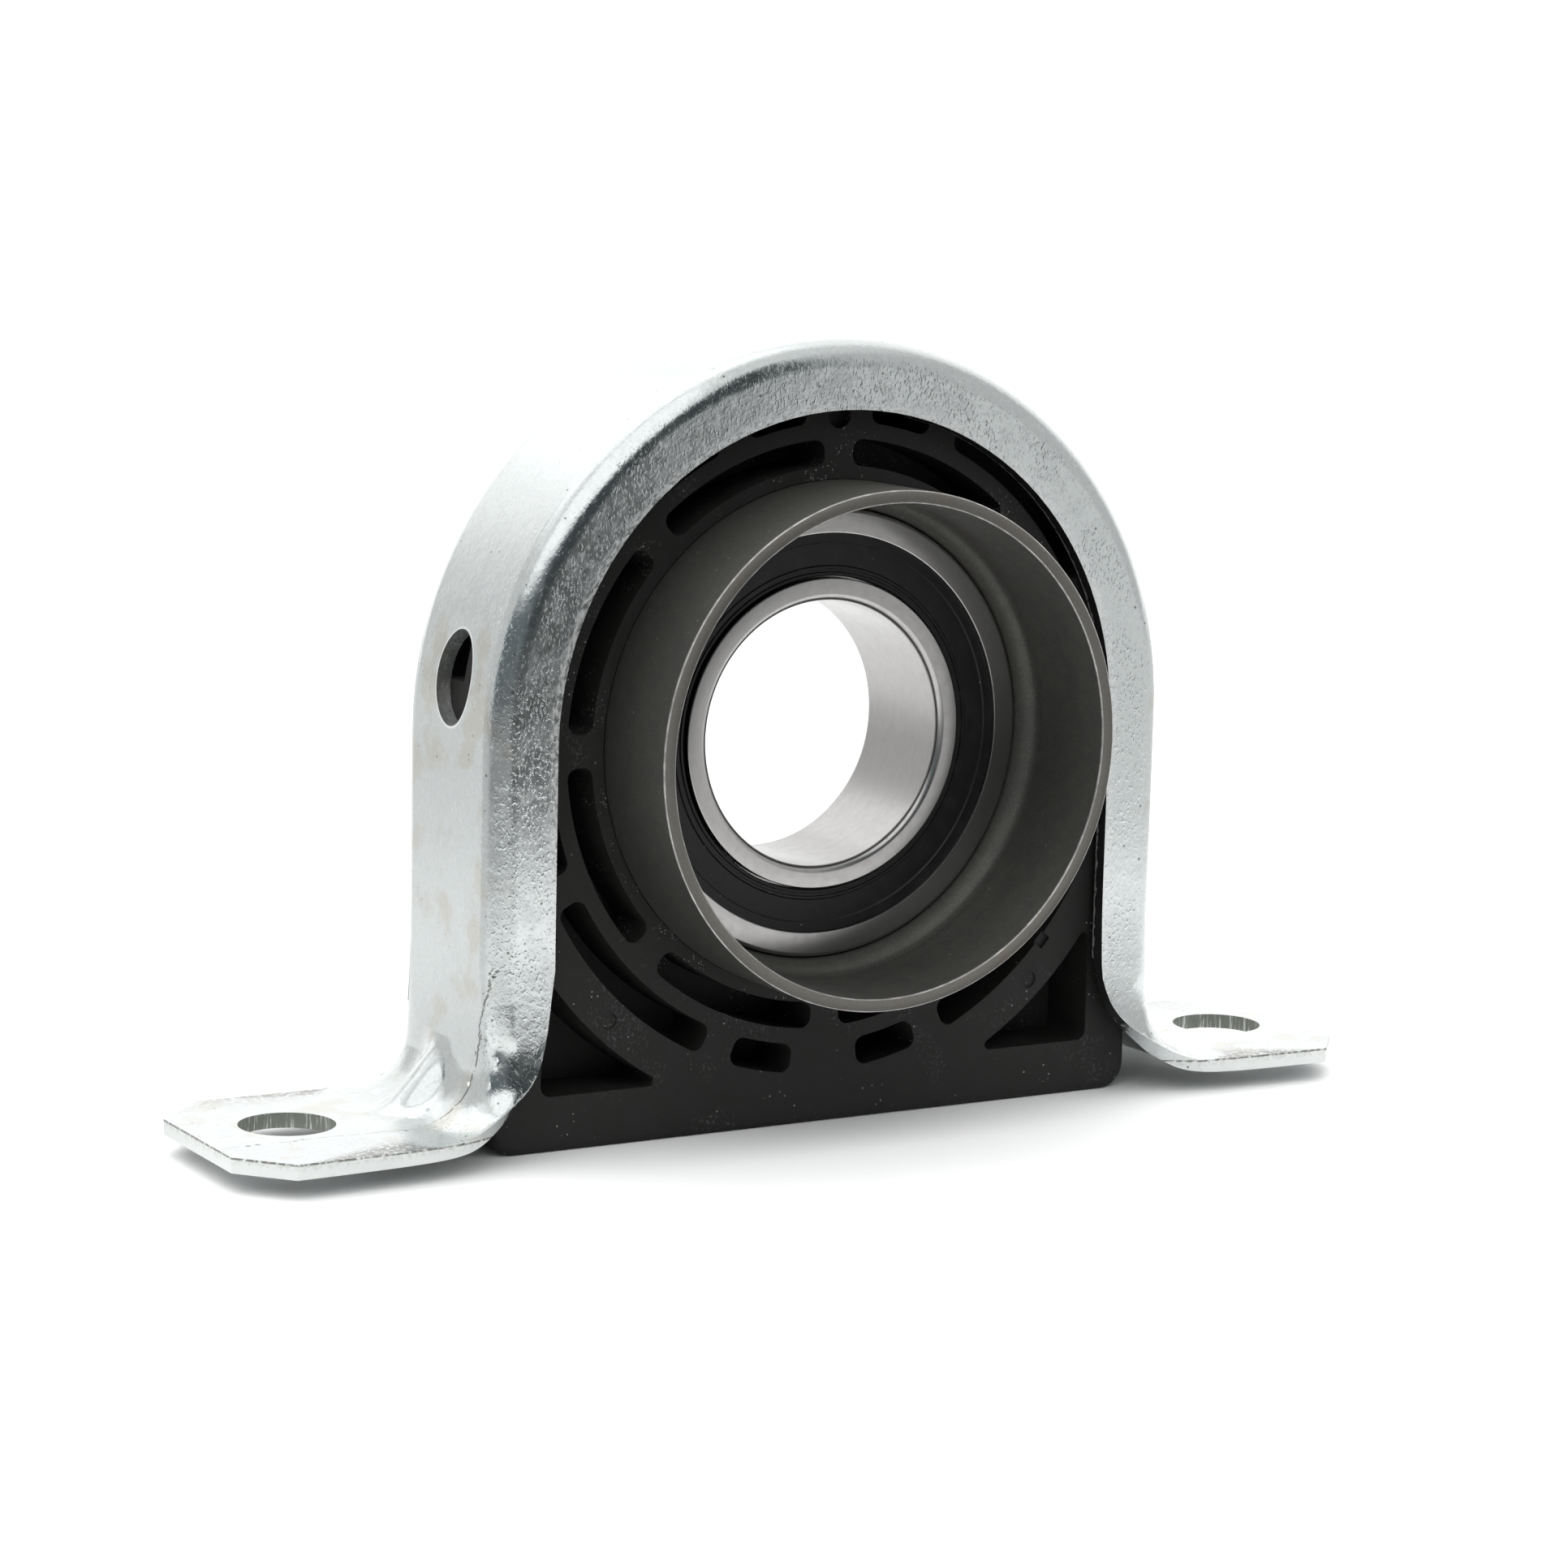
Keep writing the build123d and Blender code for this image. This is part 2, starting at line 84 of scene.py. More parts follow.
class Graph:
    # the node tree of a material or of the world
    def __init__(self, owner):
        owner.use_nodes = True
        self.tree = owner.node_tree
        self.tree.nodes.clear()

    def node(self, kind, settings=None, inputs=None, output=0):
        made = self.tree.nodes.new(kind)
        for name, value in (settings or {}).items():
            setattr(made, name, value)
        for name, value in (inputs or {}).items():
            if isinstance(value, Wire):
                self.tree.links.new(value.socket, made.inputs[name])
            else:
                made.inputs[name].default_value = value
        return Wire(self, made.outputs[output]) if made.outputs else None

    def math(self, operation, *terms):
        return self.node("ShaderNodeMath", {"operation": operation}, dict(enumerate(terms)))

    def split(self, vector):
        first = self.node("ShaderNodeSeparateXYZ", inputs={0: vector})
        return first, first.beside(1), first.beside(2)

    def joined(self, x, y, z):
        return self.node("ShaderNodeCombineXYZ", inputs={0: x, 1: y, 2: z})

    def step(self, value, start, end):
        # 0 at start, 1 at end, smooth between
        inputs = {"Value": value, "From Min": start, "From Max": end}
        return self.node("ShaderNodeMapRange", {"interpolation_type": "SMOOTHSTEP"}, inputs)

    def blend(self, factor, first, second):
        return self.node("ShaderNodeMix", {"data_type": "RGBA"}, {0: factor, 6: first, 7: second}, output=2)


class Finish(Graph):
    # one procedural material, in millimetres of the object's own coordinates
    def __init__(self, name):
        self.material = bpy.data.materials.new(name)
        super().__init__(self.material)
        self.place = self.node("ShaderNodeTexCoord", output="Object")
        self.points = self.node("ShaderNodeMapping", inputs={"Vector": self.place, "Scale": (1 / mm,) * 3})

    def clouds(self, size, detail=2.0, rough=0.5, vector=None):
        # soft noise whose lumps are about this many millimetres
        inputs = {"Vector": vector or self.points, "Scale": 1 / size, "Detail": detail, "Roughness": rough}
        return self.node("ShaderNodeTexNoise", inputs=inputs)

    def patches(self, size, start, end, detail=2.0, rough=0.5, vector=None):
        # such clouds, cut off below start and full above end
        return self.step(self.clouds(size, detail, rough, vector), start, end)

    def specks(self, spacing, share, width):
        # spots in a share of the cells of a grid of this spacing
        inputs = {"Vector": self.points, "Scale": 1 / spacing}
        near = self.node("ShaderNodeTexVoronoi", {"feature": "F1"}, inputs, output="Distance")
        luck = self.split(near.beside("Color"))[0]
        return self.step(near, width, width * 0.5) * self.step(luck, 1 - share, 1.02 - share)

    def coats(self, base, *layers):
        # a colour with others laid over it, each by its own share
        for share, colour in layers:
            base = self.blend(share, base, colour)
        return base

    def bump(self, height, depth):
        return self.node("ShaderNodeBump", inputs={"Height": height, "Strength": 1.0, "Distance": depth * mm})

    def polar(self):
        # radius, angle in turns, and place along the bore
        x, y, z = self.split(self.points)
        return (x * x + z * z) ** 0.5, self.math("ARCTAN2", z, x) / (2 * pi), y

    def attribute(self, name):
        return self.node("ShaderNodeAttribute", {"attribute_name": name}, output="Fac")

    def close(self, inputs):
        shader = self.node("ShaderNodeBsdfPrincipled", inputs=inputs)
        self.node("ShaderNodeOutputMaterial", inputs={"Surface": shader})
        return self.material


def grey(value, warm=0.0):
    return (value * (1 + warm), value, value * (1 - warm), 1)


# Mesh helpers

def piece(name, bm, material, body, stands=(), sharp=32):
    mesh = bpy.data.meshes.new(name)
    bm.to_mesh(mesh)
    bm.free()
    mesh.shade_smooth()
    mesh.set_sharp_from_angle(angle=radians(sharp))
    mesh.materials.append(material)
    made = bpy.data.objects.new(name, mesh)
    bpy.context.scene.collection.objects.link(made)
    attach(made, body)
    if stands:
        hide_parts(*stands)
    print("made", name, len(mesh.polygons), "faces")
    return made


def mergedCopy(node, flat=0.4):
    # the node's loose triangles joined, with flat areas as single faces
    bm = bmesh.new()
    bm.from_mesh(nodes[node].data)
    bmesh.ops.remove_doubles(bm, verts=bm.verts, dist=0.002 * mm)
    bmesh.ops.dissolve_limit(bm, angle_limit=radians(flat), verts=bm.verts, edges=bm.edges)
    bmesh.ops.recalc_face_normals(bm, faces=bm.faces)
    return bm


def sharpEdges(bm, angle):
    joined = [edge for edge in bm.edges if len(edge.link_faces) == 2]
    return [edge for edge in joined if edge.calc_face_angle() > radians(angle)]


def turned(profile, steps=256):
    # a closed outline of (radius, place along the bore) spun into a ring
    bm = bmesh.new()
    points = [bm.verts.new((radius * mm, place * mm, 0)) for radius, place in profile]
    rims = [bm.edges.new((points[i - 1], points[i])) for i in range(len(points))]
    bmesh.ops.spin(bm, geom=points + rims, cent=(0, 0, 0), axis=(0, 1, 0), angle=2 * pi,
                   steps=steps, use_merge=True)
    bmesh.ops.remove_doubles(bm, verts=bm.verts, dist=0.001 * mm)
    bmesh.ops.recalc_face_normals(bm, faces=bm.faces)
    return bm


def roundOff(bm, edges, width, segments=2):
    bmesh.ops.bevel(bm, geom=edges, offset=width * mm, segments=segments, profile=0.5,
                    affect="EDGES", material=-1, clamp_overlap=True)


def flatShading(made):
    # large flat faces keep their own normals beside rounded edges
    weighted = made.modifiers.new("weightedNormals", "WEIGHTED_NORMAL")
    weighted.mode = "FACE_AREA"
    weighted.weight = 100
    weighted.keep_sharp = True


# The bracket's sizes and its zinc plating

bracketSizes = {
    "arch": 58.0,
    "rise": 1.2,  # the arch's centre over the bore's
    "flangeEdge": 47.7,  # the flange's inner edge, from the arch's centre
    "flangeFront": -16.0,
    "flangeEnd": -31.0,  # height below which the flange's edge turns outward
    "flangeTurn": (-53.0, 56.0),  # height and place across to which the rubber follows it
    "footTop": -53.8,
    "boltPlace": 82.4,
    "boltReach": 7.3,  # takes in the bolt hole's wall
    "sideHole": (-1.5, 10.1, 5.4, 7.0),  # place along the bore, height and half sizes
    "edgeRound": 0.22,
    "cornerRound": 0.16,
    "rolledEdge": 0.6,
}
zinc = {
    "plate": (0.56, 0.592, 0.586, 1),
    "dull": (0.47, 0.49, 0.495, 1),
    "grainy": grey(0.66),
    "rubbedAndHighlight": grey(0.7),
    "bright": grey(0.9),
    "stain": (0.42, 0.36, 0.25, 1),
    "cut": (0.70, 0.72, 0.705, 1),
    "torn": (0.42, 0.44, 0.41, 1),
    "drilled": (0.20, 0.215, 0.185, 1),
    "seam": (0.09, 0.085, 0.07, 1),
    "fleck": grey(0.05),
    "rubber": grey(0.012),
    "gloss": 0.13,
    "peelDepth": 0.018,
    "pebbleDepth": 1.6,  # as many peel depths
    "crackDepth": 3.0,
    "grain": 0.45,  # how much duller the grain is
    "seamStart": 12.7,
    "seamLean": 0.217,
    "seamWander": 3.0,
}
arch, rise, footTop = (bracketSizes[name] for name in ("arch", "rise", "footTop"))
flangeEdge, flangeFront = bracketSizes["flangeEdge"], bracketSizes["flangeFront"]
holeY, holeZ, holeWide, holeHigh = bracketSizes["sideHole"]
plating = Finish("zincPlating")
x, y, z = plating.split(plating.points)
cutFace, skinned, bored = (plating.attribute(name) for name in ("cut", "skin", "bored"))
outside = plating.step(abs(x), arch - 4.0, arch - 1.5)
front = plating.step(y, flangeFront + 8.0, flangeFront + 4.5)

# Coordinates of the flat strip that the bracket was pressed from
above = plating.step(z, rise - 0.5, rise + 0.5)
bow = plating.math("ARCTAN2", z - rise, abs(x)) * arch
drawn = above * bow + (1 - above) * (z - rise)
strip = plating.joined((x * x + z * z) ** 0.5, drawn * 0.35, y)
offFlange = above * (x * x + (z - rise) ** 2) ** 0.5 + (1 - above) * abs(x) - flangeEdge

# Grain, the bend's pebbles, the inner edge's strip (rubbed, and partly a painted highlight) and scores
fine = plating.clouds(0.45, 2.0, vector=strip)
broad = plating.clouds(1.6, 2.0)
blotches = plating.patches(3.0, 0.45, 0.6, 3.0)
grain = plating.patches(0.55, 0.54, 0.68, 4.0, 0.75, strip)
# partly painted highlight: a lighter, less metallic strip along the flange's inner edge stands in for light
# caught where the edge tilts inward; its streaks are rubbed marks
rubbedAndHighlight = plating.step(offFlange, 1.9, 0.7) * plating.patches(0.5, 0.35, 0.6, vector=strip)
pebbled = front * (0.35 + 0.65 * plating.patches(5.0, 0.42, 0.58, vector=strip))
pebbles = plating.patches(0.4, 0.5, 0.78, 2.0, 0.6, plating.joined(x, y, z * 0.55))
scores = plating.patches(1.0, 0.66, 0.72, 1.0, vector=plating.joined(x * 4, y * 4, z * 0.22))

# A painted highlight round the side hole's rim, stains beside the hole, and dirt
fromHole = (((y - holeY) / holeWide) ** 2 + ((z - holeZ) / holeHigh) ** 2) ** 0.5
# painted highlight: a pale ring on the side hole's rim, where its edge would catch light
holeHighlight = plating.step(abs(fromHole - 1.03), 0.035, 0.012) * outside
besideHole = plating.step(abs(fromHole - 1.6), 0.7, 0.2)
stained = plating.step(plating.clouds(7.0, 3.0) + 0.12 * besideHole, 0.54, 0.68) * outside
dirt = plating.specks(1.6, 0.25, 0.16) * plating.patches(7.0, 0.5, 0.62)

# The crack-like seam down the left bend, with pits beside it, fainter on the foot
wander = plating.clouds(3.5, 4.0, 0.7, plating.joined(x * 0.2, y * 0.2, z))
offSeam = abs(y + zinc["seamStart"] + zinc["seamLean"] * (z + 40.0) + zinc["seamWander"] * (wander - 0.5))
onLeft = plating.step(x, -50.0, -53.0) * plating.step(z, -27.0, -34.0) * plating.step(z, -55.5, -54.0)
onLeg = 1 - 0.6 * plating.step(z, -51.0, -53.5)
seam = plating.step(offSeam, 0.24, 0.1) * onLeft * plating.patches(2.2, 0.38, 0.5) * onLeg
pits = plating.specks(1.7, 0.6, 0.32) * plating.step(offSeam, 0.9, 0.4) * onLeft
edgePits = plating.specks(2.6, 0.3, 0.11) * front
cracks = plating.math("MINIMUM", seam + pits + edgePits, 1.0)

# Cut edges, torn at the foot's rim, a painted shadow along the foot's top edge, and drilled walls with bright
# streaks
# painted shadow: a dark, broken line at the top of the foot's cut face, under its rolled edge
lip = plating.step(z, footTop - 0.4, footTop - 0.28) * plating.step(z, footTop, footTop - 0.03)
lipShadow = lip * plating.patches(0.9, 0.35, 0.55, 4.0, 0.7)
torn = plating.step(z, -55.2, -54.5) * plating.patches(0.7, 0.45, 0.62, 4.0, 0.7)
streaks = plating.patches(0.5, 0.5, 0.72, 3.0, 0.6, plating.joined(x * 1.2, y * 1.2, z * 0.12))

shade = plating.coats(
    zinc["plate"],
    (plating.patches(0.6, 0.35, 0.65, 3.0) * 0.4, zinc["dull"]),
    (grain * 0.4, zinc["grainy"]),
    # the inner edge's strip: rubbed, and partly a painted highlight
    (rubbedAndHighlight * 0.6, zinc["rubbedAndHighlight"]),
    (scores * outside * 0.35, zinc["dull"]),
    (stained * 0.3, zinc["stain"]),
    (cutFace, plating.blend(torn * 0.45, zinc["cut"], zinc["torn"])),
    # painted shadow line along the foot's top edge
    (lipShadow * 0.85, zinc["seam"]),
    (bored, plating.blend(streaks, zinc["drilled"], zinc["cut"])),
    (cracks * 0.75, zinc["seam"]),
    # painted highlight round the side hole
    (holeHighlight * 0.6, zinc["bright"]),
    (dirt * 0.75, zinc["fleck"]),
    (skinned, zinc["rubber"]),
)
metal = (1 - 0.6 * cutFace) * (1 - zinc["grain"] * grain * (0.5 + 0.5 * blotches))
metal = metal * (1 - 0.5 * rubbedAndHighlight) * (1 - skinned) * (1 - 0.5 * bored)
peel = fine * (0.5 + 0.5 * blotches) + broad * 0.8 + zinc["pebbleDepth"] * pebbled * pebbles
peel = peel - zinc["crackDepth"] * (seam + pits)
zincMaterial = plating.close({
    "Base Color": shade,
    "Metallic": metal,
    "Roughness": zinc["gloss"] + 0.06 * blotches + 0.3 * (cutFace + bored) + 0.4 * skinned,
    "Normal": plating.bump(peel, zinc["peelDepth"]),
})
print("zinc plating mixed")


# Corners where the bracket's legs turn into its feet

cornerSizes = {
    "inner": 44.0,
    "outer": 72.0,
    "bottom": -58.0,
    "top": -41.0,
    "cell": 0.8,
    "slice": 1.0,
    "slices": 16,  # on each side of the middle
    "offEdges": (0.05, 0.07),  # keeps cells and slices off the sheet's own edges
    "weld": 0.3,
    "rounds": 24,  # of smoothing
    "edgeRounds": 70,
}


def inCorner(point, side):
    level = cornerSizes["inner"] * mm < side * point.x < cornerSizes["outer"] * mm
    return level and cornerSizes["bottom"] * mm < point.z < cornerSizes["top"] * mm


def inAnyCorner(verts):
    return any(inCorner(vert.co, side) for vert in verts for side in (-1, 1))


def cornerPlanes():
    # axis and place of each cutting plane, and whether it is one of the corner's own borders
    cellShift, sliceShift = cornerSizes["offEdges"]
    planes = [(0, cornerSizes["inner"], True), (0, cornerSizes["outer"], True), (2, cornerSizes["top"], True)]
    for axis, first, last in ((0, "inner", "outer"), (2, "bottom", "top")):
        count = int((cornerSizes[last] - cornerSizes[first]) / cornerSizes["cell"])
        for step in range(1, count):
            planes.append((axis, cornerSizes[first] + step * cornerSizes["cell"] + cellShift, False))
    for step in range(-cornerSizes["slices"], cornerSizes["slices"] + 1):
        planes.append((1, step * cornerSizes["slice"] + sliceShift, False))
    return planes


def gridCorner(bm, side):
    # finer faces in the corner, cut along planes of three directions
    for axis, place, border in cornerPlanes():
        spot, normal = Vector((0, 0, 0)), Vector((0, 0, 0))
        spot[axis] = place * mm * (side if axis == 0 else 1)
        normal[axis] = 1
        if border:
            faces = [face for face in bm.faces if any(inCorner(vert.co, side) for vert in face.verts)]
        else:
            faces = [face for face in bm.faces if inCorner(face.calc_center_median(), side)]
        edges = {edge for face in faces for edge in face.edges}
        verts = {vert for face in faces for vert in face.verts}
        bmesh.ops.bisect_plane(bm, geom=faces + list(edges) + list(verts), dist=0.0001 * mm,
                               plane_co=spot, plane_no=normal)


def settleCorner(bm, side):
    # draws the creases inside the sheet smooth and its cut edge into one sweep
    crisp = [edge for edge in sharpEdges(bm, 55) if edge.is_convex]
    held = {vert for edge in crisp for vert in edge.verts}
    chains = {}
    for edge in crisp:
        for vert in edge.verts:
            chains.setdefault(vert, []).append(edge.other_vert(vert))
    inside = [vert for vert in bm.verts if inCorner(vert.co, side)]
    free = [vert for vert in inside if vert not in held]
    bound = [vert for vert in inside if len(chains.get(vert, ())) == 2]
    for lap in range(cornerSizes["edgeRounds"]):
        moved = [vert.co * 0.5 + (chains[vert][0].co + chains[vert][1].co) * 0.25 for vert in bound]
        for vert, place in zip(bound, moved):
            vert.co = place
    for lap in range(cornerSizes["rounds"]):
        bmesh.ops.smooth_vert(bm, verts=free, factor=0.5, use_axis_x=True, use_axis_y=True, use_axis_z=True)
    print("settled", len(free), "free and", len(bound), "edge points")


# Bracket

def fromArch(point):
    # how far out a point is: from the arch's centre, or from the middle below it
    return hypot(point.x, point.z - rise) if point.z > rise else abs(point.x)


def onFlangeEdge(edge):
    ends = [vert.co / mm for vert in edge.verts]
    level = all(abs(fromArch(end) - flangeEdge) < 0.1 for end in ends)
    return level and all(end.y < flangeFront + 0.1 for end in ends)


def cutByPress(face):
    # whether a face is the sheet's thickness, bared by a cut
    middle = face.calc_center_median() / mm
    return 1.0 if middle.z < footTop and abs(face.normal.z) < 0.5 else 0.0


def underRubber(face):
    # whether the moulded rubber has run over this face of the flange's inner edge
    middle = face.calc_center_median() / mm
    if abs(face.normal.y) > 0.2:
        return 0.0
    if middle.z > bracketSizes["flangeEnd"]:
        return 1.0 if abs(fromArch(middle) - flangeEdge) < 0.2 else 0.0
    lowest, outermost = bracketSizes["flangeTurn"]
    facesIn = face.normal.x * (1 if middle.x > 0 else -1) < -0.5
    return 1.0 if facesIn and middle.z > lowest and abs(middle.x) < outermost else 0.0


def inHole(face):
    # 1 on a bolt hole's wall, less on a side hole's wall
    middle = face.calc_center_median() / mm
    fromBolt = hypot(abs(middle.x) - bracketSizes["boltPlace"], middle.y)
    if fromBolt < bracketSizes["boltReach"] and abs(face.normal.z) < 0.6:
        return 1.0
    reach = hypot((middle.y - holeY) / holeWide, (middle.z - holeZ) / holeHigh)
    inSide = abs(middle.x) > flangeEdge and abs(face.normal.x) < 0.5
    return 0.4 if inSide and reach < 1.02 else 0.0


bm = mergedCopy("bracket")
for side in (-1, 1):
    gridCorner(bm, side)
bmesh.ops.remove_doubles(bm, verts=[vert for vert in bm.verts if inAnyCorner([vert])],
                         dist=cornerSizes["weld"] * mm)
rolled = [edge for edge in sharpEdges(bm, 60) if onFlangeEdge(edge)]
print("rolled edges", len(rolled))
for side in (-1, 1):
    settleCorner(bm, side)
roundOff(bm, [edge for edge in rolled if not inAnyCorner(edge.verts)], bracketSizes["rolledEdge"], 3)
faceMarks = {"cut": cutByPress, "skin": underRubber, "bored": inHole}
layers = {name: bm.faces.layers.float.new(name) for name in faceMarks}
for corner, width in ((False, bracketSizes["edgeRound"]), (True, bracketSizes["cornerRound"])):
    roundOff(bm, [edge for edge in sharpEdges(bm, 35) if inAnyCorner(edge.verts) == corner], width)
bm.normal_update()
for face in bm.faces:
    for name, mark in faceMarks.items():
        face[layers[name]] = mark(face)
flatShading(piece("pressedBracket", bm, zincMaterial, "housing", ["bracket"]))


# Black rubber of the cushion

rubber = {
    "black": (0.0125, 0.013, 0.0115, 1),
    "bloom": grey(0.022),
    "scuff": grey(0.12),
    "dust": grey(0.4, 0.01),
    "dull": 0.62,
    "edgeRound": 0.32,
    "grainDepth": 0.018,
}
moulded = Finish("blackRubber")
radius = moulded.polar()[0]
bloom = moulded.clouds(5.0, 4.0)
clusters = moulded.patches(6.5, 0.5, 0.64)
dusty = clusters * moulded.specks(0.9, 0.4, 0.2) * 0.7
dusty = dusty + clusters * moulded.step(radius, 47.0, 41.0) * moulded.specks(0.42, 0.45, 0.3)
scuffs = moulded.patches(9.0, 0.55, 0.7, 3.0) * moulded.patches(0.5, 0.5, 0.7)
rubberMaterial = moulded.close({
    "Base Color": moulded.coats(
        rubber["black"],
        (moulded.step(bloom, 0.4, 0.7) * 0.25, rubber["bloom"]),
        (scuffs * 0.3, rubber["scuff"]),
        (dusty * 0.7, rubber["dust"]),
    ),
    "Roughness": rubber["dull"] + 0.12 * bloom,
    "Specular IOR Level": 0.28,
    "Normal": moulded.bump(moulded.clouds(0.35, 3.0) + 2.0 * moulded.clouds(2.5), rubber["grainDepth"]),
})

bm = mergedCopy("rubber_cushion")
roundOff(bm, sharpEdges(bm, 50), rubber["edgeRound"])
flatShading(piece("mouldedCushion", bm, rubberMaterial, "housing", ["rubber_cushion"]))


# Flash that the mould left along the flange's inner edge, with a painted highlight on its front edge

flash = {
    "reach": flangeEdge - 0.25,
    "back": -13.9,
    "front": -14.5,
    "ragged": 0.35,
    "wavy": 0.12,
    "thick": 0.14,
    "low": -38.0,
    "start": 78,  # degrees up the arch
    "pale": grey(0.5, 0.01),
}


def flashPath(side):
    # down the arch and its leg, as points of (x, z)
    turns = [radians(turn) for turn in range(flash["start"], -1, -1)]
    path = [(side * flash["reach"] * cos(turn), rise + flash["reach"] * sin(turn)) for turn in turns]
    falls = range(1, int(2 * (rise - flash["low"])))
    return path + [(side * flash["reach"], rise - fall / 2) for fall in falls]


whitish = Finish("flashRubber")
x, y, z = whitish.split(whitish.points)
# painted highlight: the fin's front edge is coloured pale in patches, where it would catch light
pale = whitish.step(y, -14.0, -14.25) * whitish.patches(0.8, 0.25, 0.5, 3.0)
shade = whitish.blend(pale, rubber["black"], flash["pale"])
flashMaterial = whitish.close({"Base Color": shade, "Roughness": 0.5})
for side, name in ((1, "flashRight"), (-1, "flashLeft")):
    bm = bmesh.new()
    spots = [bm.verts.new((px * mm, flash["back"] * mm, pz * mm)) for px, pz in flashPath(side)]
    for first, second in zip(spots, spots[1:]):
        bm.edges.new((first, second))
    bmesh.ops.subdivide_edges(bm, edges=bm.edges, cuts=2)
    lifted = bmesh.ops.extrude_edge_only(bm, edges=bm.edges[:])["geom"]
    for vert in lifted:
        if isinstance(vert, bmesh.types.BMVert):
            ragged = noise.noise(vert.co / mm * 0.7) + 0.5 * noise.noise(vert.co / mm * 2.3)
            vert.co.y = (flash["front"] - flash["ragged"] * max(ragged, -0.2)) * mm
            vert.co.x += flash["wavy"] * noise.noise(vert.co / mm * 1.1) * mm
    bmesh.ops.solidify(bm, geom=bm.faces[:], thickness=flash["thick"] * mm)
    bmesh.ops.recalc_face_normals(bm, faces=bm.faces)
    piece(name, bm, flashMaterial, "housing", sharp=60)


# Phosphated sleeve

sleeveSizes = {
    "cup": 38.4,
    "sheet": 1.9,
    "rim": 30.6,
    "floor": 12.9,
    "neck": 10.9,
    "bore": 34.02,
    "seat": 10.55,  # where the rear lip stops the bearing
    "lip": 31.8,
    "rimBreak": 0.12,
    "rimHollow": (0.3, 0.08),  # inset and depth of the rim's worn middle
    "neckBend": 1.9,
    "bend": 0.8,
}
phosphate = {
    "steel": (0.085, 0.085, 0.075, 1),
    "pale": grey(0.065, 0.03),
    "rim": (0.15, 0.145, 0.13, 1),
    "rust": (0.15, 0.105, 0.065, 1),
    "grain": grey(0.17, 0.03),
    "fleck": grey(0.4, 0.01),
    "highlight": grey(0.55, 0.02),
    "grainDepth": 0.012,
}
cup, sheet, rim = sleeveSizes["cup"], sleeveSizes["sheet"], sleeveSizes["rim"]
coated = Finish("phosphatedSteel")
radius, angle, along = coated.polar()
onRim = coated.step(along, 0.25 - rim, 0.1 - rim)
# painted highlights: bright lines along the rim's outer and inner edges, broken up by noise
rimHighlights = coated.step(abs(radius - (cup - sheet / 2)), 0.76, 0.83) * coated.step(along, 0.4 - rim, 0.2 - rim)
highlightBreaks = 0.5 + 0.5 * coated.patches(2.5, 0.4, 0.65, 4.0, 0.7)
mottle = coated.clouds(3.0, 4.0, 0.6)
drawnGrain = coated.clouds(0.3, 3.0) + onRim * 2 * coated.clouds(0.5, 3.0)
sleeveMaterial = coated.close({
    "Base Color": coated.coats(
        phosphate["steel"],
        (coated.step(mottle, 0.35, 0.7) * 0.5, phosphate["pale"]),
        (onRim * 0.8, phosphate["rim"]),
        (onRim * coated.patches(3.5, 0.55, 0.7, 4.0) * 0.25, phosphate["rust"]),
        (coated.patches(0.35, 0.48, 0.75, 3.0, 0.7) * (0.4 + 0.3 * onRim), phosphate["grain"]),
        (coated.specks(1.8, 0.2, 0.09) * 0.7, phosphate["fleck"]),
        # painted highlights along the rim's edges
        (rimHighlights * highlightBreaks, phosphate["highlight"]),
    ),
    "Metallic": 0.6 + 0.2 * onRim,
    "Roughness": 0.48 + 0.06 * mottle,
    "Specular IOR Level": 0.45,
    "Normal": coated.bump(drawnGrain, phosphate["grainDepth"]),
})


def sleeveOutline():
    bore, neck, floor, seat = (sleeveSizes[name] for name in ("bore", "neck", "floor", "seat"))
    inner, outer = cup - sheet, bore + sheet
    edge = sleeveSizes["rimBreak"]
    inset, depth = sleeveSizes["rimHollow"]
    cone = (inner - bore, floor - neck)  # how far the cup's floor runs in and back
    lift = sheet * (hypot(*cone) - cone[1]) / cone[0]  # keeps the sheet's thickness on the cone
    inside = [(inner, edge - rim), (inner, -floor), (bore, -neck), (bore, seat)]
    lip = [(sleeveSizes["lip"], seat), (sleeveSizes["lip"], seat + sheet)]
    outward = [(outer, seat + sheet), (outer, lift - neck), (cup, lift - floor)]
    face = [(cup, edge - rim), (cup - edge, -rim), (cup - inset, depth - rim),
            (inner + inset, depth - rim), (inner + edge, -rim)]
    return inside + lip + outward + face


def sleeveBends(bm):
    # every bend but the edges of the cup's rim
    return [edge for edge in sharpEdges(bm, 25) if edge.verts[0].co.y > -rim / 2 * mm]


def atNeck(edge):
    return all(abs(vert.co.y / mm + sleeveSizes["neck"]) < 0.01 for vert in edge.verts)


bm = turned(sleeveOutline())
roundOff(bm, [edge for edge in sleeveBends(bm) if atNeck(edge)], sleeveSizes["neckBend"], 6)
roundOff(bm, sleeveBends(bm), sleeveSizes["bend"], 5)
piece("drawnSleeve", bm, sleeveMaterial, "housing", ["bearing_sleeve"])


# Bearing rings

bearing = {
    "bore": 20.0,
    "outside": 34.0,
    "halfWidth": 10.5,
    "pitch": 27.0,
    "trackRadius": 4.12776,
    "trackShift": 0.089,  # from the pitch circle to the track's own centre
    "innerShoulder": (24.65, 8.0),  # radius and reach along the bore
    "innerLand": 23.45,
    "outerShoulder": (29.4, 8.3),
    "sealSeat": (30.9, 9.3),
    "outerLand": 30.2,
    "landRound": 0.22,
    "boreRound": 1.15,
    "outsideRound": 0.7,
}
steels = {"ring": (0.41, 0.2), "ball": (0.75, 0.08), "cage": (0.55, 0.3)}  # tone and roughness


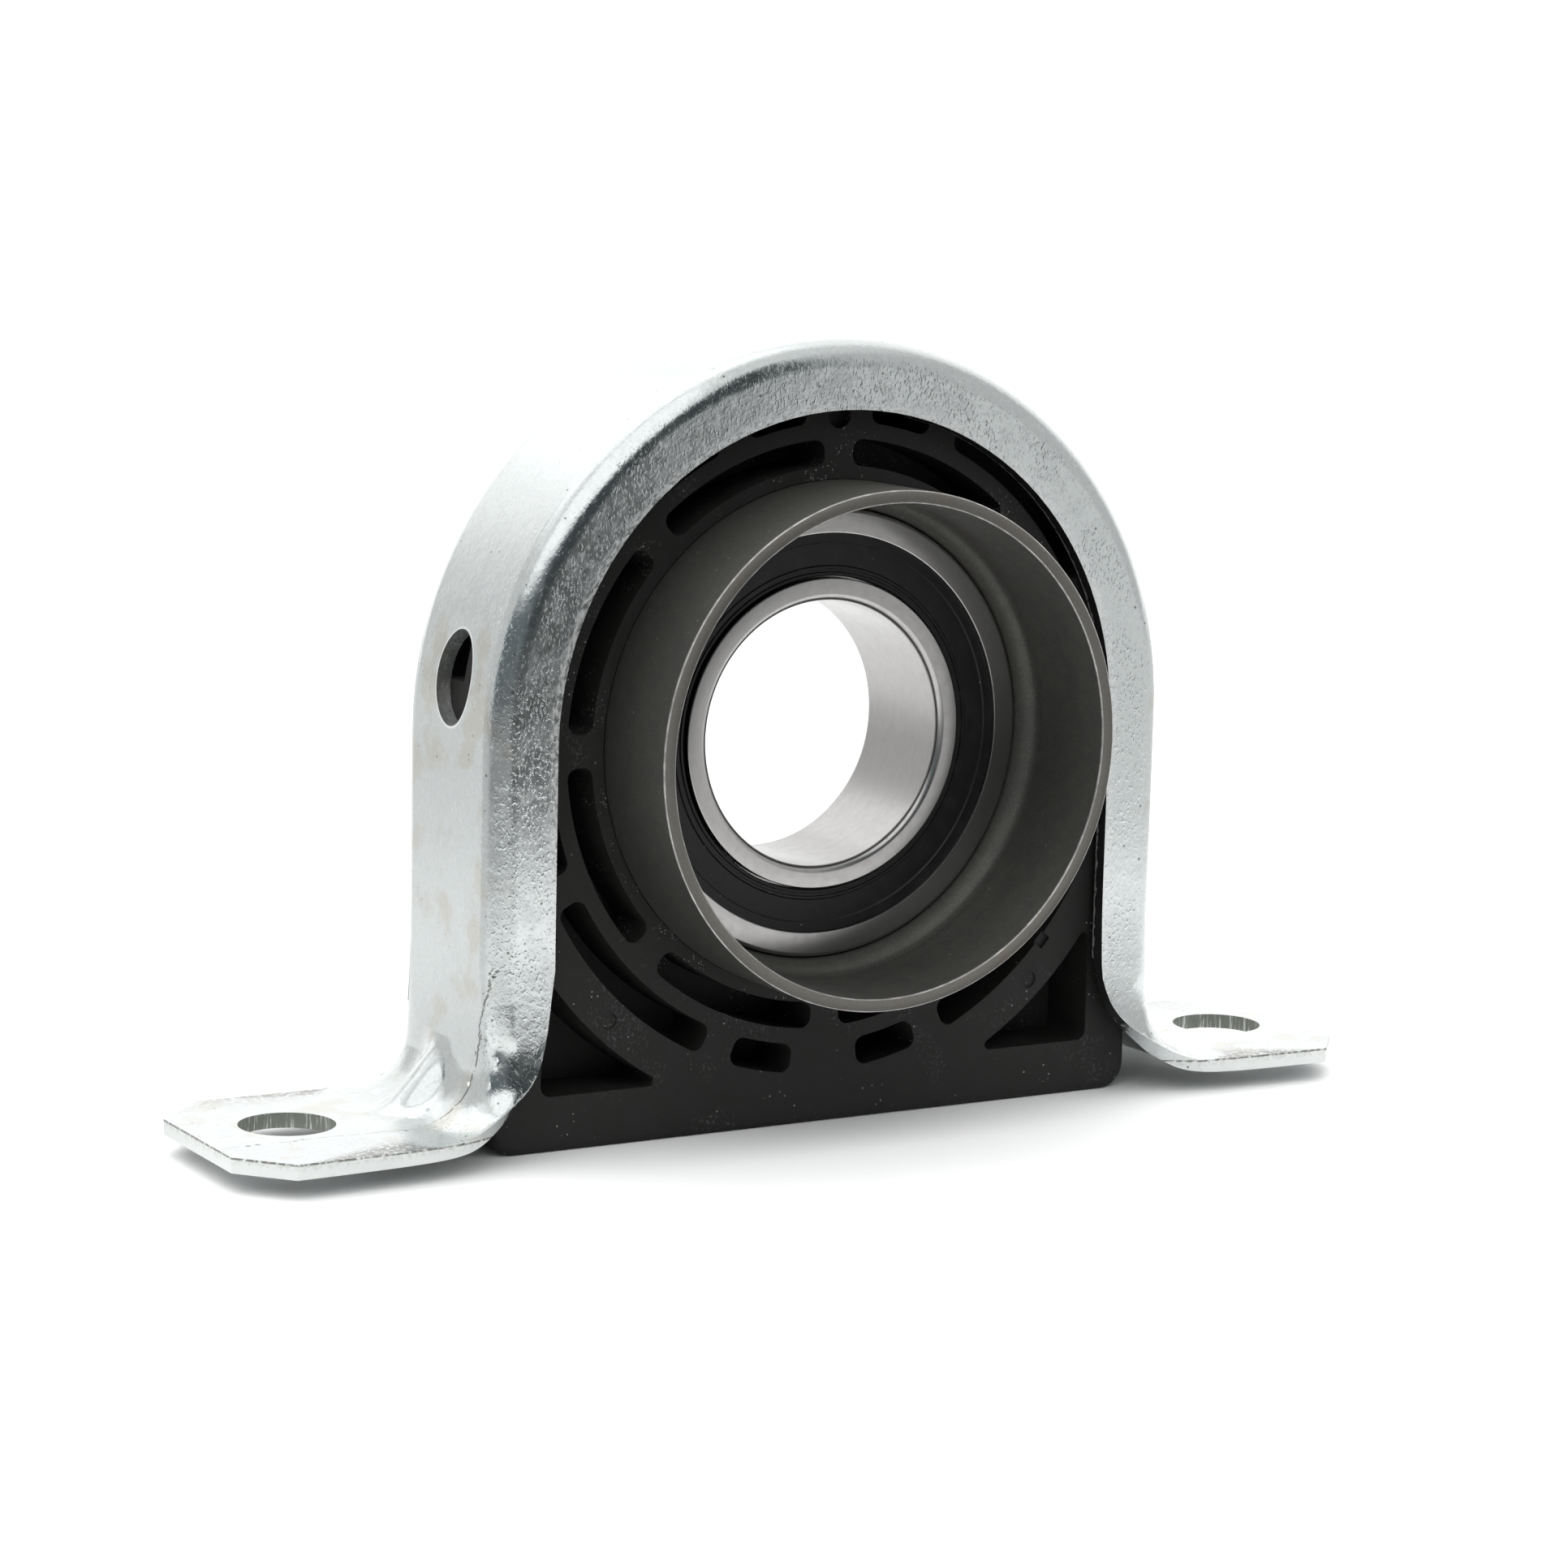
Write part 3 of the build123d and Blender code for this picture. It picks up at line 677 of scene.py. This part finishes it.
def groundSteel(kind):
    # finely ground, with the wheel's marks running round the bore
    tone, rough = steels[kind]
    ground = Finish(kind + "Steel")
    radius, angle, along = ground.polar()
    wear = ground.clouds(1.5, 4.0)
    rounds = ground.patches(0.3, 0.3, 0.7, vector=ground.joined(radius, angle * 12, along))
    shade = ground.coats(
        grey(tone, 0.012),
        (ground.step(wear, 0.4, 0.7) * 0.3, grey(tone * 0.8, 0.03)),
        (rounds * 0.25, grey(tone * 0.75, 0.03)),
        (ground.specks(0.9, 0.08, 0.13) * 0.8, grey(0.08, 0.1)),
        (ground.step(radius, bearing["bore"] + 0.15, bearing["bore"]) * 0.3, grey(0.2, 0.01)),
    )
    return ground.close({
        "Base Color": shade,
        "Metallic": 1.0,
        "Roughness": rough + 0.1 * wear,
        "Normal": ground.bump(wear, 0.004),
    })


def raceway(shoulder, side, steps=13):
    # the ball track's arc from the rear shoulder to the front one, outside (1) or inside (-1) of the balls
    centre, radius = bearing["pitch"] - side * bearing["trackShift"], bearing["trackRadius"]
    half = (radius ** 2 - (shoulder - centre) ** 2) ** 0.5
    spots = [half * (1 - 2 * step / (steps - 1)) for step in range(steps)]
    return [(centre + side * (radius ** 2 - spot ** 2) ** 0.5, spot) for spot in spots]


def circleEdges(bm, radius):
    # the sharp edges of both end faces that run round at this radius
    found = []
    for edge in sharpEdges(bm, 60):
        level = all(abs(hypot(vert.co.x, vert.co.z) / mm - radius) < 0.02 for vert in edge.verts)
        if level and all(abs(vert.co.y) > (bearing["halfWidth"] - 0.1) * mm for vert in edge.verts):
            found.append(edge)
    return found


def bearingRing(name, side, end, rounds, body, node):
    # one end of the ring's outline, from its shoulder on, is mirrored to the other end
    outline = [(radius, -place) for radius, place in end] + end[::-1] + raceway(end[0][0], side)
    bm = turned(outline)
    for radius, width, segments in rounds:
        roundOff(bm, circleEdges(bm, radius), width, segments)
    flatShading(piece(name, bm, ringMaterial, body, [node]))


ringMaterial = groundSteel("ring")
half, seat, land = bearing["halfWidth"], bearing["sealSeat"], bearing["outerLand"]
shoulder = bearing["outerShoulder"]
outerEnd = [shoulder, (seat[0], shoulder[1]), seat, (land, seat[1]), (land, half), (bearing["outside"], half)]
outerRounds = [(bearing["outside"], bearing["outsideRound"], 3), (land, bearing["landRound"], 2)]
bearingRing("outerRing", 1, outerEnd, outerRounds, "housing", "outer_ring")

shoulder, land = bearing["innerShoulder"], bearing["innerLand"]
innerEnd = [shoulder, (land, shoulder[1]), (land, half), (bearing["bore"], half)]
innerRounds = [(bearing["bore"], bearing["boreRound"], 5), (land, bearing["landRound"], 2)]
bearingRing("innerRing", -1, innerEnd, innerRounds, "shaft_ring", "inner_ring")


# Seals

sealSizes = {
    "lip": 23.72,
    "lipBreak": (0.14, 0.15),
    "shelf": 30.17,
    "outside": 30.87,
    "back": 8.6,
    "ledge": 9.27,
    "face": 9.8,
    "lipGroove": (24.22, 24.82, 0.1, 0.25),  # from, to, slope and depth
    "panel": (25.15, 28.8, 0.2, 0.18),
}
sealTones = {"black": grey(0.008), "haze": grey(0.02, 0.03), "fleck": grey(0.3)}
sealed = Finish("sealRubber")
haze = sealed.clouds(2.5, 3.0)
sealMaterial = sealed.close({
    "Base Color": sealed.coats(
        sealTones["black"],
        (sealed.step(haze, 0.45, 0.7) * 0.4, sealTones["haze"]),
        (sealed.specks(1.4, 0.15, 0.1) * 0.5, sealTones["fleck"]),
    ),
    "Roughness": 0.34 + 0.15 * haze,
    "Specular IOR Level": 0.28,
    "Normal": sealed.bump(sealed.clouds(0.4, 2.0), 0.006),
})


def sealOutline(side):
    lip, shelf, outside = sealSizes["lip"], sealSizes["shelf"], sealSizes["outside"]
    back, ledge, face = sealSizes["back"], sealSizes["ledge"], sealSizes["face"]
    across, along = sealSizes["lipBreak"]
    outline = [(lip, back), (lip, face - along), (lip + across, face)]
    for first, last, slope, depth in (sealSizes["lipGroove"], sealSizes["panel"]):
        outline += [(first, face), (first + slope, face - depth), (last - slope, face - depth), (last, face)]
    outline += [(shelf, face), (shelf, ledge), (outside, ledge), (outside, back)]
    return [(radius, side * place) for radius, place in outline]


for name, side in (("front", -1), ("rear", 1)):
    piece(f"{name}Seal", turned(sealOutline(side)), sealMaterial, "housing", [f"seal_{name}"])


# Balls, cage and rivets keep their CAD shapes

for kind in ("ball", "cage"):
    material = groundSteel(kind)
    for name, node in nodes.items():
        if name.startswith(kind + "_"):
            node.data.materials.clear()
            node.data.materials.append(material)
print("balls and cage finished")


# Studio

studio = {
    "floorLevel": -59.1,
    "floorTone": 0.86,
    "floorFades": (0.17, 0.33),  # metres from the part, in reflections only
    "leftFades": (0.12, 0.4),
    "fade": 0.42,
    "fadeInDark": 0.54,
    "fadeLeft": 0.18,
    "fadeSide": 0.14,
    "sky": 1.0,
    "behind": 1.5,
    "leftBehind": 0.85,
    "frontLeft": 1.65,
    "right": 0.74,
    "dark": 0.08,
    "darkLeft": 0.12,
    "darkEnds": -10,  # directions, in degrees from the front towards the right
    "darkOnFloor": -59.6,
    "darkInAir": -60.5,
    "frontLeftPlace": -40,
    "above": 0.9,
    "backdrop": 1.05,
    "darkTint": (0.86, 1, 1.05, 1),
    "key": 3.0,
    "keySize": 1.6,
    "keyPlace": (-0.25, 0.9, 1.3),
}
tiny = 0.0001  # keeps a division off zero


def facing(x, y, angle):
    # how far a place lies, or a direction points, toward this angle
    return x * sin(radians(angle)) - y * cos(radians(angle))


bm = bmesh.new()
bmesh.ops.create_circle(bm, cap_ends=True, segments=96, radius=3.0)
bmesh.ops.translate(bm, verts=bm.verts, vec=(0, 0, studio["floorLevel"] * mm))
floorMesh = bpy.data.meshes.new("studioFloor")
bm.to_mesh(floorMesh)
bm.free()
paper = Finish("paleFloor")
x, y, z = paper.split(paper.place)
reach = (x * x + y * y + tiny) ** 0.5
# painted shade: apart from camera rays, the floor's colour darkens with distance from the part, more on the
# camera's side, standing in for the studio light falling off
darkPart = paper.step(facing(x, y, studio["darkOnFloor"]), 0.015, 0.055)
darkPart = darkPart * paper.step(facing(x, y, studio["darkEnds"]) / reach, -0.1, 0.2)
toLeft = paper.step(x / reach, 0.0, -0.4)
fades = zip(studio["floorFades"], studio["leftFades"])
starts, ends = (ahead + (left - ahead) * toLeft for ahead, left in fades)
paintedFalloff = paper.step(reach, starts, ends)
paintedFalloff = paintedFalloff * (studio["fade"] * (1 - 0.4 * toLeft) + studio["fadeInDark"] * darkPart)
besideLeft = studio["fadeLeft"] * paper.step(x / reach, -0.1, -0.6)
besideLeft = besideLeft + studio["fadeSide"] * paper.step(x / reach, -0.6, -0.85)
paintedFalloff = paintedFalloff + besideLeft * (1 - darkPart)
seen = paper.node("ShaderNodeLightPath", output="Is Camera Ray")
# painted shade on the floor, left out for camera rays
shade = paper.blend(paintedFalloff * (1 - seen), grey(studio["floorTone"]), grey(0))
floorMesh.materials.append(paper.close({"Base Color": shade, "Roughness": 0.9}))
floor = bpy.data.objects.new("studioFloor", floorMesh)
bpy.context.scene.collection.objects.link(floor)
print("floor laid")

world = bpy.data.worlds.new("studioAir")
bpy.context.scene.world = world
air = Graph(world)
x, y, z = air.split(air.node("ShaderNodeTexCoord", output="Generated"))
level = (x * x + y * y + tiny) ** 0.5
x, y = x / level, y / level
behind = air.step(y, -0.2, 0.6)
leftBehind = air.step(y, -0.4, -0.05) * air.step(x, -0.25, -0.45) * air.step(z, 0.7, 0.45)
rightSide = air.step(x, 0.42, 0.52) * air.step(y, 0.1, -0.1) * air.step(z, 0.85, 0.6)
frontLeft = air.step(facing(x, y, studio["frontLeftPlace"]), 0.62, 0.8) * air.step(z, 0.4, 0.55)
darkSide = air.step(facing(x, y, studio["darkInAir"]), -0.02, 0.02)
darkSide = darkSide * air.step(facing(x, y, studio["darkEnds"]), -0.15, 0.1)
darkSide = darkSide * air.step(z - 0.4 * air.step(x, 0.05, 0.35), 0.46, 0.34)
darkTone = studio["dark"] + studio["darkLeft"] * air.step(x, -0.1, -0.6)
seen = air.node("ShaderNodeLightPath", output="Is Camera Ray")
scattered = seen.beside("Is Diffuse Ray")
softTone = studio["above"] * air.step(z, 0.3, 0.7)
tone = studio["sky"]
for share, other in (
    (behind, studio["behind"]),
    (leftBehind, studio["leftBehind"]),
    (rightSide, studio["right"]),
    (frontLeft, studio["frontLeft"]),
    (darkSide, darkTone),
):
    tone = tone + (other - tone) * share
tone = tone + softTone * scattered
tone = tone + (studio["backdrop"] - tone) * seen
tint = air.blend(darkSide * (1 - seen), (1, 1, 1, 1), studio["darkTint"])
backdrop = air.node("ShaderNodeBackground", inputs={"Color": tint, "Strength": tone})
air.node("ShaderNodeOutputWorld", inputs={"Surface": backdrop})

softbox = bpy.data.lights.new("softbox", "AREA")
softbox.shape = "SQUARE"
softbox.size = studio["keySize"]
softbox.energy = studio["key"]
key = bpy.data.objects.new("softbox", softbox)
bpy.context.scene.collection.objects.link(key)
key.location = studio["keyPlace"]
key.rotation_euler = (Vector((0, 0, 0)) - key.location).to_track_quat("-Z", "Y").to_euler()
bpy.context.scene.view_settings.view_transform = "Standard"
print("studio lit")


# Camera at the photograph's place

shot = {
    "azimuth": -30.543,
    "elevation": 9.181,
    "roll": 1.413,
    "across": 0.821,
    "up": 9.041,
    "distance": 645.71,
    "focalPixels": 5244.057,
    "photoPixels": 1932,
    "sensor": 36,
}
turn, tilt, roll = (radians(shot[name]) for name in ("azimuth", "elevation", "roll"))
back = Vector((sin(turn) * cos(tilt), -cos(turn) * cos(tilt), sin(tilt)))
level = Vector((cos(turn), sin(turn), 0))
raised = back.cross(level)
right = cos(roll) * level + sin(roll) * raised
upward = cos(roll) * raised - sin(roll) * level
eye = (back * shot["distance"] - right * shot["across"] - upward * shot["up"]) * mm
lens = bpy.data.cameras.new("viewer")
lens.sensor_width = shot["sensor"]
lens.sensor_fit = "HORIZONTAL"
lens.lens = shot["focalPixels"] / shot["photoPixels"] * shot["sensor"]
lens.clip_start = 0.01
viewer = bpy.data.objects.new("viewer", lens)
bpy.context.scene.collection.objects.link(viewer)
viewer.matrix_world = Matrix.Translation(eye) @ Matrix((right, upward, back)).transposed().to_4x4()
bpy.context.scene.camera = viewer
